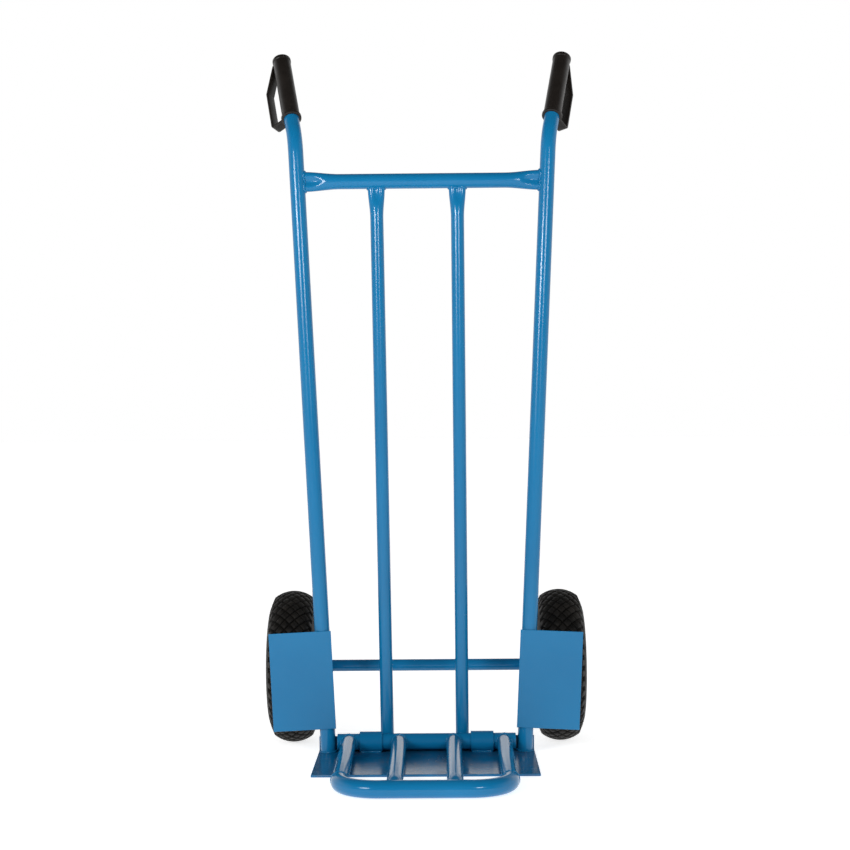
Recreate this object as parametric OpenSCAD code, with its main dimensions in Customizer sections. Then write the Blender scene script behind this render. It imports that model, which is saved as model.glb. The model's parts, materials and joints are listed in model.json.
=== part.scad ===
// Two-wheeled hand truck with a small fixed toe plate and a folding tubular toe.
// The origin is on the floor, midway between the feet of the two uprights.
// +X is the right-hand side seen from the toe, +Y is the handle and wheel side, +Z is up.

/* [Frame] */
// Outside diameter of the uprights and the top crossbar
upright_d = 25.4; // [22:0.1:28]
// Wall of all the frame tubes
tube_wall = 1.5; // [1:0.1:2.5]
// Distance between the upright centre lines at the floor
foot_spacing = 327; // [315:1:345]
// Outward lean of each upright in degrees
upright_flare = 2.65; // [1.5:0.05:3.5]
// Height of the top crossbar's centre line
crossbar_z = 954.5; // [850:0.5:980]
// Outside diameter of the two inner bars
inner_bar_d = 22; // [18:0.5:25]
// Distance between the inner bars at the crossbar
inner_spacing_top = 135; // [100:1:180]
// Distance between the inner bars at the toe plate
inner_spacing_foot = 126; // [100:1:128]
// Sideways set of the pair of inner bars at the crossbar
inner_offset_top = -9; // [-15:1:15]
// Sideways set of the pair of inner bars at the toe plate
inner_offset_foot = -3; // [-5:1:5]

/* [Handles] */
// Length of each upright from the floor to the start of its bend
straight_length = 1004; // [990:1:1020]
// Radius of the bend on the tube's centre line
bend_radius = 70; // [60:1:100]
// Backward bend of each handle in degrees
bend_angle = 37; // [20:1:60]
// Outward turn of the plane of the bend in degrees
bend_splay = 12; // [0:0.1:15]
// Bare tube between the bend and the grip
handle_bare = 23.5; // [10:0.5:60]
// Length of a grip
grip_length = 147; // [140:1:165]
// Diameter of a grip's body
grip_d = 30; // [29.5:0.1:31]
// Distance of the finger guard's centre line from the grip's axis
guard_reach = 36; // [30:1:40]
// Turn of the left finger guard behind its grip in degrees
left_guard_turn = 46; // [0:1:90]
// Turn of the right finger guard behind its grip in degrees
right_guard_turn = 64; // [0:1:90]

/* [Toe plate] */
// Width of the toe plate
plate_w = 360; // [356:1:380]
// Reach of the toe plate ahead of the uprights' centre line
plate_reach = 193; // [150:1:220]
// Thickness of the toe plate
plate_t = 4; // [3:0.5:5]
// Height of the plate's turned-up rear edge
upstand_h = 27; // [24:1:30]

/* [Folding toe] */
// Outside diameter of the hinge pipe and of the front tube
toe_pipe_d = 26.9; // [26:0.1:27]
// Length of the hinge pipe
hinge_pipe_l = 297; // [290:1:298]
// Outside diameter of the two hinge sleeves
sleeve_d = 33.7; // [32:0.1:33.7]
// Running clearance on the radius between the hinge pipe and its sleeves
hinge_clearance = 0.1; // [0.05:0.01:0.1]
// Length of a hinge sleeve
sleeve_l = 38; // [30:1:44]
// Distance of each sleeve's middle from the centre line
sleeve_x = 92.5; // [90:0.5:95]
// Outside diameter of the four fingers
finger_d = 25.4; // [24:0.1:25.4]
// Distance of the outer fingers from the centre line
outer_finger_x = 129; // [125:0.5:129]
// Distance of the inner fingers from the centre line
inner_finger_x = 45.5; // [35:0.5:55]
// Reach of the front tube ahead of the uprights' centre line
toe_reach = 354; // [320:1:380]
// Corner radius of the front tube on its centre line
toe_corner_r = 60; // [45:1:70]

/* [Wheels] */
// Diameter of the tyre
tyre_d = 260; // [256:1:260]
// Width of the tyre
tyre_w = 82; // [80:1:84]
// Distance between the middle planes of the two wheels
track = 460; // [456:1:470]
// Distance of the axle behind the uprights' centre line
axle_y = 125; // [124:1:140]
// Diameter of the axle
axle_d = 20; // [20:1:20]
// Width of a wheel guard
guard_w = 104; // [90:1:104]
// Height of a wheel guard
guard_h = 163; // [140:1:170]

/* [Hidden] */
$fn = 64;
blue = [0.12, 0.45, 0.68];
black = [0.13, 0.12, 0.11];
steel = [0.72, 0.73, 0.75];
rim_grey = [0.82, 0.83, 0.84];

upright_r = upright_d / 2;
foot_x = foot_spacing / 2;
// Half spacing of the uprights at the crossbar
crossbar_x = foot_x + crossbar_z * tan(upright_flare);
inner_bar_r = inner_bar_d / 2;

upstand_y = upright_r + 0.3;
plate_rear = upstand_y + plate_t;
plate_bend_r = 3;

hinge_y = -4;
hinge_z = plate_t + sleeve_d / 2;
hinge_pipe_r = toe_pipe_d / 2;
toe_pipe_wall = 2.6;
sleeve_bore_r = hinge_pipe_r + hinge_clearance;
finger_r = finger_d / 2;
// The fingers fall slightly and pass just over the plate's front edge
finger_gap = 0.4;
finger_fall = atan((hinge_z - plate_t - finger_r - finger_gap) / (plate_reach + hinge_y));
// The front tube's straight ends run back to the outer fingers
front_leg = 4;
outer_finger_l = toe_reach + hinge_y - toe_corner_r - front_leg;
front_tube_z = max(hinge_pipe_r + 0.3, hinge_z - outer_finger_l * tan(finger_fall));

bend_thicker = 0.02;
bend_overlap = 1;
// Bore of a grip's socket, an easy fit on the tube
socket_r = upright_r + 0.05;
handle_in_grip = grip_length - 8;
grip_flange_r = grip_d / 2 + 0.9;
// Radius of the domed end of a grip
grip_dome_r = 40;
guard_strap_t = 4;
guard_strap_w = 17;
guard_straight = 84;

tyre_r = tyre_d / 2;
axle_r = axle_d / 2;
axle_z = tyre_r;
wheel_guard_t = 2;
wheel_guard_foot = 44;
// How far a wheel guard reaches inwards past the upright's centre line
wheel_guard_inset = 15.4;
bracket_t = 5;
bracket_x = foot_x + axle_z * tan(upright_flare);
bracket_nose_r = 24;

hub_half = 31;
hub_r = 17.5;
hub_bore_r = 15.5;
hub_flange_r = 34;
hub_flange_half = 2;
bearing_l = 18;
bearing_clearance = 0.05;
rim_sheet = 2;
rim_floor_r = 46.5;
rim_half_w = 31.5;
rim_edge_r = 60;
rim_curl_r = 1.5;
valve_x = 12;
valve_stem_r = 3.2;
valve_cap_r = 4.2;
bolt_circle_r = 26;
bolt_n = 4;
bolt_r = 3;
tube_section_r = 35;
tyre_section_r = tyre_w / 2;
tread_half = 32;
tread_crown_r = 52;
washer_r = 18;
washer_t = 2.5;
washer_play = 0.5;
spacer_r = 13.5;
pin_r = 2;
hub_end_x = track / 2 + hub_half;
hub_start_x = track / 2 - hub_half;
pin_x = hub_end_x + washer_play + washer_t + pin_r + 0.2;
axle_half = pin_x + 4.5;

// ---- Placing helpers ----

// Children are drawn for the right-hand side; side = -1 mirrors them to the left.
module on_side(side) {
    if (side > 0) children();
    else mirror([1, 0, 0]) children();
}

// Local +Z runs up along the right upright from its foot on the floor.
module along_upright() {
    translate([foot_x, 0, 0]) rotate([0, upright_flare, 0]) children();
}

// Local +X is the direction in which the right handle bends.
module at_bend() {
    along_upright() translate([0, 0, straight_length]) rotate([0, 0, 90 - bend_splay]) children();
}

// Local +Z runs along the straight end of the right handle, from the end of its bend.
module along_handle() {
    at_bend()
        translate([bend_radius * (1 - cos(bend_angle)), 0, bend_radius * sin(bend_angle)])
            rotate([0, bend_angle, 0]) children();
}

module along_x(x, y, z) {
    translate([x, y, z]) rotate([0, 90, 0]) children();
}

// A round bar along X between two places on a line at y, z.
module x_bar(x0, x1, y, z, r) {
    along_x(x0, y, z) cylinder(h = x1 - x0, r = r);
}

// ---- Frame ----

// A tube's round section. The bent stretch comes out a hair thicker than the straight ones.
module tube_section(thicker) {
    difference() {
        circle(upright_r + thicker);
        circle(upright_r - tube_wall - thicker);
    }
}

// The right upright: straight run, bend and handle end, cut level where it meets the toe plate.
module upright_tube() {
    difference() {
        along_upright() translate([0, 0, -5])
            linear_extrude(straight_length + 5 + bend_overlap) tube_section(0);
        translate([foot_x - 40, -40, plate_t - 40]) cube([80, 80, 40]);
    }
    at_bend() translate([bend_radius, 0, 0]) mirror([1, 0, 0]) rotate([90, 0, 0])
        rotate_extrude(angle = bend_angle) translate([bend_radius, 0]) tube_section(bend_thicker);
    along_handle() translate([0, 0, -bend_overlap])
        linear_extrude(bend_overlap + handle_bare + handle_in_grip) tube_section(0);
}

module left_upright() {
    color(blue) on_side(-1) upright_tube();
}

module right_upright() {
    color(blue) on_side(1) upright_tube();
}

// Both uprights' straight parts as solids, for shaping the ends that meet them.
module upright_cutters() {
    for (side = [-1, 1]) on_side(side) along_upright() cylinder(h = straight_length, r = upright_r);
}

module top_crossbar() {
    color(blue) difference() {
        x_bar(-crossbar_x, crossbar_x, 0, crossbar_z, upright_r);
        x_bar(-crossbar_x - 1, crossbar_x + 1, 0, crossbar_z, upright_r - tube_wall);
        upright_cutters();
    }
}

// One inner bar from behind the plate's upstand to the underside of the crossbar.
module inner_bar(side) {
    foot = [inner_offset_foot + side * inner_spacing_foot / 2, plate_rear + inner_bar_r, plate_t];
    top = [inner_offset_top + side * inner_spacing_top / 2, 0, crossbar_z];
    run = top - foot;
    lean_x = -atan(run[1] / run[2]);
    lean_y = atan(run[0] / norm([run[1], run[2]]));
    difference() {
        translate(foot) rotate([lean_x, 0, 0]) rotate([0, lean_y, 0]) difference() {
            cylinder(h = norm(run), r = inner_bar_r);
            translate([0, 0, -1]) cylinder(h = norm(run) + 2, r = inner_bar_r - tube_wall);
        }
        x_bar(-crossbar_x, crossbar_x, 0, crossbar_z, upright_r);
        translate([-plate_w / 2, 0, -1]) cube([plate_w, plate_rear, upstand_h + 1]);
    }
}

module left_inner_bar() {
    color(blue) inner_bar(-1);
}

module right_inner_bar() {
    color(blue) inner_bar(1);
}

// Flat sheet with its rear edge turned up behind the uprights.
module toe_plate() {
    color(blue) translate([-plate_w / 2, 0, 0]) rotate([90, 0, 90]) linear_extrude(plate_w) {
        translate([-plate_reach, 0]) square([plate_reach + upstand_y - plate_bend_r, plate_t]);
        translate([upstand_y, plate_t + plate_bend_r])
            square([plate_t, upstand_h - plate_t - plate_bend_r]);
        translate([upstand_y - plate_bend_r, plate_t + plate_bend_r]) difference() {
            circle(plate_bend_r + plate_t);
            circle(plate_bend_r);
            translate([-20, -20]) square([20, 40]);
            translate([-20, 0]) square([40, 20]);
        }
    }
}

module hinge_sleeve() {
    difference() {
        x_bar(sleeve_x - sleeve_l / 2, sleeve_x + sleeve_l / 2, hinge_y, hinge_z, sleeve_d / 2);
        x_bar(sleeve_x - sleeve_l, sleeve_x + sleeve_l, hinge_y, hinge_z, sleeve_bore_r);
    }
}

module left_hinge_sleeve() {
    color(blue) on_side(-1) hinge_sleeve();
}

module right_hinge_sleeve() {
    color(blue) on_side(1) hinge_sleeve();
}

// Flat sheet across the front of the tyre, square to the upright it is welded to.
module wheel_guard() {
    along_upright() translate([-wheel_guard_inset, -upright_r - wheel_guard_t, wheel_guard_foot])
        cube([guard_w, wheel_guard_t, guard_h]);
}

module left_wheel_guard() {
    color(blue) on_side(-1) wheel_guard();
}

module right_wheel_guard() {
    color(blue) on_side(1) wheel_guard();
}

// Upright plate that carries the axle behind the frame.
module axle_bracket() {
    x0 = bracket_x - bracket_t / 2;
    difference() {
        union() {
            x_bar(x0, x0 + bracket_t, axle_y, axle_z, bracket_nose_r);
            translate([x0, 0, axle_z]) rotate([90, 0, 90]) linear_extrude(bracket_t)
                polygon([[0, -66], [0, 66], [axle_y, bracket_nose_r], [axle_y, -bracket_nose_r]]);
        }
        x_bar(x0 - 1, x0 + bracket_t + 1, axle_y, axle_z, axle_r);
        upright_cutters();
        translate([x0 - 20, -20, 0]) cube([40, 20, 2 * axle_z]);
    }
}

module left_axle_bracket() {
    color(blue) on_side(-1) axle_bracket();
}

module right_axle_bracket() {
    color(blue) on_side(1) axle_bracket();
}

// ---- Axle and its fixings ----

module axle() {
    color(blue) difference() {
        x_bar(-axle_half, axle_half, axle_y, axle_z, axle_r);
        for (x = [-pin_x, pin_x]) translate([x, axle_y, axle_z - 20]) cylinder(h = 40, r = pin_r);
    }
}

// A ring on the right-hand end of the axle.
module axle_ring(x0, x1, r) {
    difference() {
        x_bar(x0, x1, axle_y, axle_z, r);
        x_bar(x0 - 1, x1 + 1, axle_y, axle_z, axle_r);
    }
}

module axle_spacers() {
    inner_end = bracket_x + bracket_t / 2;
    outer_end = hub_start_x - washer_play - washer_t;
    color(steel) for (side = [-1, 1]) on_side(side) axle_ring(inner_end, outer_end, spacer_r);
}

module axle_washers() {
    color(steel) for (side = [-1, 1]) on_side(side) {
        axle_ring(hub_start_x - washer_play - washer_t, hub_start_x - washer_play, washer_r);
        axle_ring(hub_end_x + washer_play, hub_end_x + washer_play + washer_t, washer_r);
    }
}

// A split pin through the axle with its eye above and its two legs spread below.
module split_pins() {
    eye_r = 4;
    leg_z = axle_z - axle_r - 1;
    color(steel) for (side = [-1, 1]) on_side(side) {
        translate([pin_x, axle_y, leg_z]) cylinder(h = 2 * axle_r + 3, r = pin_r);
        translate([pin_x, axle_y, axle_z + axle_r + eye_r + 1]) rotate([0, 90, 0])
            rotate_extrude() translate([eye_r - 1.2, 0]) circle(1.2);
        for (spread = [-1, 1]) translate([pin_x, axle_y, leg_z + 1]) rotate([spread * 130, 0, 0])
            cylinder(h = 9, r = 1.1);
    }
}

// ---- Grips ----

// Moulded grip along +Z with its collar at the origin and its finger guard towards +X.
module grip_shape() {
    bar_inner = guard_reach - guard_strap_t / 2;
    bar_outer = guard_reach + guard_strap_t / 2;
    difference() {
        union() {
            cylinder(h = grip_length - 3, r = grip_d / 2);
            cylinder(h = 7, r = grip_flange_r);
            translate([0, 0, grip_length - 9]) cylinder(h = 6, r = grip_flange_r);
            translate([0, 0, grip_length - 3]) intersection() {
                translate([0, 0, 3 - grip_dome_r]) sphere(r = grip_dome_r, $fn = 96);
                cylinder(h = 4, r = grip_flange_r);
            }
            translate([0, guard_strap_w / 2, 0]) rotate([90, 0, 0]) linear_extrude(guard_strap_w)
                difference() {
                    polygon([
                        [0, 0.5], [bar_outer, 0.5], [bar_outer, guard_straight],
                        [grip_d / 2, grip_length - 12], [0, grip_length - 12]
                    ]);
                    polygon([
                        [0, 4.5], [bar_inner, 4.5], [bar_inner, guard_straight - 1],
                        [grip_d / 2 - 1, grip_length - 22], [0, grip_length - 22]
                    ]);
                }
        }
        translate([0, 0, -1]) cylinder(h = handle_in_grip + 1, r = socket_r);
    }
}

module grip(guard_turn) {
    along_handle() translate([0, 0, handle_bare]) rotate([0, 0, guard_turn - 90]) grip_shape();
}

module left_grip() {
    color(black) on_side(-1) grip(left_guard_turn);
}

module right_grip() {
    color(black) on_side(1) grip(right_guard_turn);
}

// ---- Folding toe ----

module hinge_pipe() {
    color(blue) difference() {
        x_bar(-hinge_pipe_l / 2, hinge_pipe_l / 2, hinge_y, hinge_z, hinge_pipe_r);
        x_bar(-hinge_pipe_l, hinge_pipe_l, hinge_y, hinge_z, hinge_pipe_r - toe_pipe_wall);
    }
}

// Half of the front tube's run as a solid of radius r, on the right-hand side.
module front_run(r, over) {
    corner_x = outer_finger_x - toe_corner_r;
    corner_y = -toe_reach + toe_corner_r;
    x_bar(0, corner_x, -toe_reach, front_tube_z, r);
    translate([corner_x, corner_y, front_tube_z]) rotate([0, 0, -90])
        rotate_extrude(angle = 90) translate([toe_corner_r, 0]) circle(r);
    translate([outer_finger_x, corner_y, front_tube_z]) rotate([-90, 0, 0])
        cylinder(h = front_leg + over, r = r);
}

module toe_front_tube() {
    color(blue) difference() {
        for (side = [-1, 1]) on_side(side) front_run(hinge_pipe_r, 0);
        for (side = [-1, 1]) on_side(side) front_run(hinge_pipe_r - 2, 1);
    }
}

// A finger from the hinge pipe towards the front tube.
module finger(x, reach) {
    difference() {
        translate([x, hinge_y, hinge_z]) rotate([90 + finger_fall, 0, 0]) difference() {
            cylinder(h = reach, r = finger_r);
            translate([0, 0, -1]) cylinder(h = reach + 2, r = finger_r - tube_wall);
        }
        x_bar(-hinge_pipe_l, hinge_pipe_l, hinge_y, hinge_z, hinge_pipe_r);
        x_bar(-outer_finger_x, outer_finger_x, -toe_reach, front_tube_z, hinge_pipe_r);
    }
}

module inner_finger(side) {
    finger(side * inner_finger_x, toe_reach + hinge_y);
}

// An outer finger is cut off square against the end of the front tube.
module outer_finger(side) {
    difference() {
        finger(side * outer_finger_x, outer_finger_l + 2);
        translate([side * outer_finger_x - 20, hinge_y - outer_finger_l - 20, 0])
            cube([40, 20, 40]);
    }
}

module left_outer_finger() {
    color(blue) outer_finger(-1);
}

module left_inner_finger() {
    color(blue) inner_finger(-1);
}

module right_inner_finger() {
    color(blue) inner_finger(1);
}

module right_outer_finger() {
    color(blue) outer_finger(1);
}

// ---- Wheels, drawn about the X axis and then moved to the axle ----

module at_wheel(side) {
    on_side(side) translate([track / 2, axle_y, axle_z]) children();
}

// Turns a section drawn as [across, radius] about the wheel's axis.
module turned() {
    rotate([0, 90, 0]) rotate_extrude() rotate([0, 0, 90]) mirror([0, 1]) children();
}

module tyre_section() {
    bead_w = rim_half_w - rim_sheet - 0.2 - 17;
    difference() {
        union() {
            translate([0, tyre_r - tyre_section_r]) circle(tyre_section_r);
            intersection() {
                translate([0, tyre_r - tread_crown_r]) circle(tread_crown_r);
                translate([-tread_half, tyre_r - 22]) square([2 * tread_half, 30]);
            }
            for (x = [-17 - bead_w, 17]) translate([x, rim_floor_r + rim_sheet + 0.2])
                square([bead_w, 14]);
        }
        translate([0, tyre_r - tyre_section_r - 0.5]) circle(tube_section_r + 0.5);
        translate([-17, 20]) square([34, 50]);
        translate([-60, 0]) square([120, rim_floor_r + rim_sheet + 0.2]);
    }
}

module tyre() {
    turned() tyre_section();
}

module inner_tube() {
    turned() translate([0, tyre_r - tyre_section_r - 0.5]) difference() {
        circle(tube_section_r);
        circle(tube_section_r - 2);
    }
}

// Pressed half of the rim, on the +X side of the hub's flange.
module rim_half() {
    turned() {
        translate([hub_flange_half, hub_r + 0.2])
            square([rim_sheet, rim_floor_r - hub_r + rim_sheet - 0.2]);
        translate([hub_flange_half, rim_floor_r]) square([rim_half_w - hub_flange_half, rim_sheet]);
        translate([rim_half_w - rim_sheet, rim_floor_r])
            square([rim_sheet, rim_edge_r - rim_floor_r]);
        translate([rim_half_w, rim_edge_r]) circle(rim_curl_r);
    }
}

module bolt_places() {
    for (i = [0 : bolt_n - 1]) rotate([360 / bolt_n * (i + 0.5), 0, 0])
        translate([0, 0, bolt_circle_r]) children();
}

module bolt_holes() {
    bolt_places() x_bar(-10, 10, 0, 0, bolt_r);
}

module rim_outer() {
    difference() {
        rim_half();
        bolt_holes();
        translate([valve_x, 0, rim_floor_r - 5]) cylinder(h = 12, r = valve_stem_r + 1);
    }
}

module rim_inner() {
    difference() {
        mirror([1, 0, 0]) rim_half();
        bolt_holes();
    }
}

module hub() {
    difference() {
        union() {
            x_bar(-hub_half, hub_half, 0, 0, hub_r);
            x_bar(-hub_flange_half, hub_flange_half, 0, 0, hub_flange_r);
        }
        x_bar(-hub_half - 1, hub_half + 1, 0, 0, hub_bore_r);
        bolt_holes();
    }
}

// The two plain roller cages pressed into the ends of the hub.
module bearings() {
    for (x = [-hub_half, hub_half - bearing_l]) difference() {
        x_bar(x, x + bearing_l, 0, 0, hub_bore_r);
        x_bar(x - 1, x + bearing_l + 1, 0, 0, axle_r + bearing_clearance);
    }
}

module rim_bolts() {
    face = hub_flange_half + rim_sheet;
    bolt_places() {
        along_x(face, 0, 0) cylinder(h = 4, r = 5.8, $fn = 6);
        x_bar(-face - 6.5, face, 0, 0, bolt_r);
    }
}

module rim_nuts() {
    face = hub_flange_half + rim_sheet;
    bolt_places() difference() {
        along_x(-face - 5, 0, 0) cylinder(h = 5, r = 5.8, $fn = 6);
        x_bar(-face - 6, -face + 1, 0, 0, bolt_r);
    }
}

// Valve stem through the rim's floor, with its dust cap pointing at the hub.
module valve() {
    tip = rim_floor_r - 16;
    seat = tyre_r - tyre_section_r - tube_section_r - 1;
    translate([valve_x, 0, tip]) cylinder(h = seat - tip, r = valve_stem_r);
    translate([valve_x, 0, tip - 2]) cylinder(h = 10, r = valve_cap_r);
}

module left_tyre() { color(black) at_wheel(-1) tyre(); }
module left_inner_tube() { color(black) at_wheel(-1) inner_tube(); }
module left_rim_outer() { color(rim_grey) at_wheel(-1) rim_outer(); }
module left_rim_inner() { color(rim_grey) at_wheel(-1) rim_inner(); }
module left_hub() { color(steel) at_wheel(-1) hub(); }
module left_bearings() { color(steel) at_wheel(-1) bearings(); }
module left_rim_bolts() { color(steel) at_wheel(-1) rim_bolts(); }
module left_rim_nuts() { color(steel) at_wheel(-1) rim_nuts(); }
module left_valve() { color(black) at_wheel(-1) valve(); }
module right_tyre() { color(black) at_wheel(1) tyre(); }
module right_inner_tube() { color(black) at_wheel(1) inner_tube(); }
module right_rim_outer() { color(rim_grey) at_wheel(1) rim_outer(); }
module right_rim_inner() { color(rim_grey) at_wheel(1) rim_inner(); }
module right_hub() { color(steel) at_wheel(1) hub(); }
module right_bearings() { color(steel) at_wheel(1) bearings(); }
module right_rim_bolts() { color(steel) at_wheel(1) rim_bolts(); }
module right_rim_nuts() { color(steel) at_wheel(1) rim_nuts(); }
module right_valve() { color(black) at_wheel(1) valve(); }

left_upright();
right_upright();
top_crossbar();
left_inner_bar();
right_inner_bar();
toe_plate();
left_hinge_sleeve();
right_hinge_sleeve();
left_wheel_guard();
right_wheel_guard();
left_axle_bracket();
right_axle_bracket();
axle();
axle_spacers();
axle_washers();
split_pins();
left_grip();
right_grip();
hinge_pipe();
toe_front_tube();
left_outer_finger();
left_inner_finger();
right_inner_finger();
right_outer_finger();
left_tyre();
left_inner_tube();
left_rim_outer();
left_rim_inner();
left_hub();
left_bearings();
left_rim_bolts();
left_rim_nuts();
left_valve();
right_tyre();
right_inner_tube();
right_rim_outer();
right_rim_inner();
right_hub();
right_bearings();
right_rim_bolts();
right_rim_nuts();
right_valve();
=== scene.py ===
"""Looks of the hand truck: finished meshes, materials, light and camera around the CAD frame."""

import json
import math

import bmesh
import bpy
from mathutils import Matrix, Vector, noise


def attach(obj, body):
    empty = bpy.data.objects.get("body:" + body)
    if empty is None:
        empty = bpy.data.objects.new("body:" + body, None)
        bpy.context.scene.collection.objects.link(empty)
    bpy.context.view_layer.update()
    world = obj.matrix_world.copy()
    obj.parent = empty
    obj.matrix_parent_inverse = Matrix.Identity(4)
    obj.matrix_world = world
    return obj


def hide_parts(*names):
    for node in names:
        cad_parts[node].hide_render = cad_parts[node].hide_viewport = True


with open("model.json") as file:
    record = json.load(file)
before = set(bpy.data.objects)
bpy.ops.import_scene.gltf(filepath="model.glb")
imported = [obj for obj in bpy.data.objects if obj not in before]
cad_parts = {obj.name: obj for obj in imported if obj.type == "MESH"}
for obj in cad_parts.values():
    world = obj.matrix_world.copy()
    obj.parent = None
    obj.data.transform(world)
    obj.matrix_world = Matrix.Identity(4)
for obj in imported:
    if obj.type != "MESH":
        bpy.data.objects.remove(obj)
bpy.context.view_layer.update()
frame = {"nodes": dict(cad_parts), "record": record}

# ---- Sizes of the part in millimetres. Meshes are drawn in these, then scaled ----
MM = 0.001
UPRIGHT_R = 12.7
WALL = 1.5
FOOT_X = 163.5
FLARE = math.radians(2.65)
CROSSBAR_Z = 954.5
INNER_R = 11.0
STRAIGHT = 1004.0
BEND_R = 70.0
BEND = math.radians(37)
SPLAY = math.radians(12)
HANDLE_BARE = 23.5
GRIP_LENGTH = 147.0
PLATE_HALF = 180.0
PLATE_REACH = 193.0
PLATE_T = 4.0
UPSTAND_Y = 13.0
UPSTAND_TOP = 27.0
HINGE = Vector((0, -4, 20.85))
HINGE_HALF = 148.5
PIPE_R = 13.45
SLEEVE_R = 16.85
SLEEVE_BORE = 13.55
SLEEVE_X = 92.5
SLEEVE_HALF = 19.0
FINGER_R = 12.7
FINGER_FALL = math.atan(3.75 / 189)
OUTER_FINGER_L = 287.0
INNER_FINGER_L = 350.0
OUTER_X = 129.0
INNER_X = 45.5
TOE_Y = -354.0
TOE_CORNER_R = 60.0
TUBE_END_Y = -290.0
FRONT_Z = 15.175
GUARD_T = 2.0
GUARD_SPAN = (-15.4, 88.6)
GUARD_RISE = (44.0, 207.0)
AXLE_R = 10.0
AXLE_Y = 125.0
AXLE_Z = 130.0
TRACK = 460.0
BRACKET_X = FOOT_X + AXLE_Z * math.tan(FLARE)
BRACKET_T = 5.0
SPACER_END = 196.0
WASHER_X = (SPACER_END, 261.5)
BEAD_STEP = 0.6
BEAD_SIDES = 10

X = Vector((1, 0, 0))
Y = Vector((0, 1, 0))
Z = Vector((0, 0, 1))


# ---- Mesh helpers ----


def smooth_step(t):
    t = min(max(t, 0.0), 1.0)
    return t * t * (3 - 2 * t)


def full_turn(steps):
    """Evenly spaced angles once around."""
    return [2 * math.pi * k / steps for k in range(steps)]


def angles(*degrees):
    return [math.radians(a) for a in degrees]


def finish_mesh(name, bm, material, body, stands_for=(), crease=35):
    """Turns a bmesh in millimetres into a piece that rides on a CAD body."""
    bmesh.ops.scale(bm, vec=(MM, MM, MM), verts=bm.verts)
    bmesh.ops.remove_doubles(bm, verts=bm.verts, dist=1e-7)
    bmesh.ops.recalc_face_normals(bm, faces=bm.faces)
    mesh = bpy.data.meshes.new(name)
    bm.to_mesh(mesh)
    bm.free()
    mesh.polygons.foreach_set("use_smooth", [True] * len(mesh.polygons))
    mesh.set_sharp_from_angle(angle=math.radians(crease))
    mesh.materials.append(material)
    obj = bpy.data.objects.new(name, mesh)
    bpy.context.scene.collection.objects.link(obj)
    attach(obj, body)
    if stands_for:
        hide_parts(*stands_for)
    return obj


def add_loft(bm, rings, closed=False):
    """Skins a list of rings of points, and either joins the last to the first or caps both."""
    rows = [[bm.verts.new(p) for p in ring] for ring in rings]
    pairs = list(zip(rows, rows[1:]))
    if closed:
        pairs.append((rows[-1], rows[0]))
    for a, b in pairs:
        for i in range(len(a)):
            j = (i + 1) % len(a)
            bm.faces.new((a[i], a[j], b[j], b[i]))
    if not closed:
        bm.faces.new(rows[0])
        bm.faces.new(rows[-1])


def rounded(points, radius, steps):
    """The polyline with each inner corner turned into an arc."""
    line = [points[0]]
    for a, b, c in zip(points, points[1:], points[2:]):
        u, v = (a - b).normalized(), (c - b).normalized()
        corner = u.angle(v)
        reach_back = radius / math.tan(corner / 2)
        centre = b + (u + v).normalized() * (radius / math.sin(corner / 2))
        start, end = b + u * reach_back - centre, b + v * reach_back - centre
        turn = math.pi - corner
        for k in range(steps + 1):
            t = k / steps
            swept = math.sin((1 - t) * turn) * start + math.sin(t * turn) * end
            line.append(centre + swept / math.sin(turn))
    line.append(points[-1])
    return line


def frames_along(points, side):
    """(point, side, up) at each point of a line, carried along without twist."""
    found = []
    for i, p in enumerate(points):
        before, after = points[max(i - 1, 0)], points[min(i + 1, len(points) - 1)]
        tangent = (after - before).normalized()
        side = (side - tangent * side.dot(tangent)).normalized()
        found.append((p, side, tangent.cross(side)))
    return found


def ring_at(at, radius, sides):
    """A circle of points about one of the places from frames_along."""
    p, side, up = at
    return [p + (side * math.cos(t) + up * math.sin(t)) * radius for t in full_turn(sides)]


def add_pipe(bm, points, outer, inner, side=Z, rim=0.5):
    """A tube with a wall and eased rims along a line."""
    start, end = points[0], points[-1]
    first = (points[1] - start).normalized() * rim
    last = (points[-2] - end).normalized() * rim
    line = [start, start + first, *points[1:-1], end + last, end]
    frames = frames_along(line, side)
    sides = 64
    rings = [ring_at(frames[0], outer - rim, sides)]
    rings += [ring_at(f, outer, sides) for f in frames[1:-1]]
    rings += [ring_at(frames[-1], outer - rim, sides)]
    rings += [ring_at(f, inner, sides) for f in reversed(frames)]
    add_loft(bm, rings, closed=True)


def add_turned(bm, profile, place, steps=64):
    """Turns a closed profile of (radius, along) about the local Z axis of a placing matrix."""
    rings = []
    for t in full_turn(steps):
        ring = [place @ Vector((r * math.cos(t), r * math.sin(t), z)) for r, z in profile]
        rings.append(ring)
    add_loft(bm, rings, closed=True)


def add_slab(bm, outline, offset):
    """A flat outline pushed along offset into a solid plate."""
    low = [bm.verts.new(p) for p in outline]
    high = [bm.verts.new(p + offset) for p in outline]
    bm.faces.new(low)
    bm.faces.new(high)
    for i in range(len(outline)):
        j = (i + 1) % len(outline)
        bm.faces.new((low[i], low[j], high[j], high[i]))


def ease_edges(obj, width):
    bevel = obj.modifiers.new("eased_edges", "BEVEL")
    bevel.width = width * MM
    bevel.segments = 2
    bevel.limit_method = "ANGLE"
    bevel.angle_limit = math.radians(40)


def reach(point, direction, target):
    """Distance along direction from point to a round bar (axis point, axis, radius)."""
    centre, axis, radius = target
    rel = point - centre
    a = direction - axis * direction.dot(axis)
    b = rel - axis * rel.dot(axis)
    qa, qb, qc = a.dot(a), 2 * a.dot(b), b.dot(b) - radius * radius
    return (-qb - math.sqrt(max(qb * qb - 4 * qa * qc, 0))) / (2 * qa)


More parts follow.
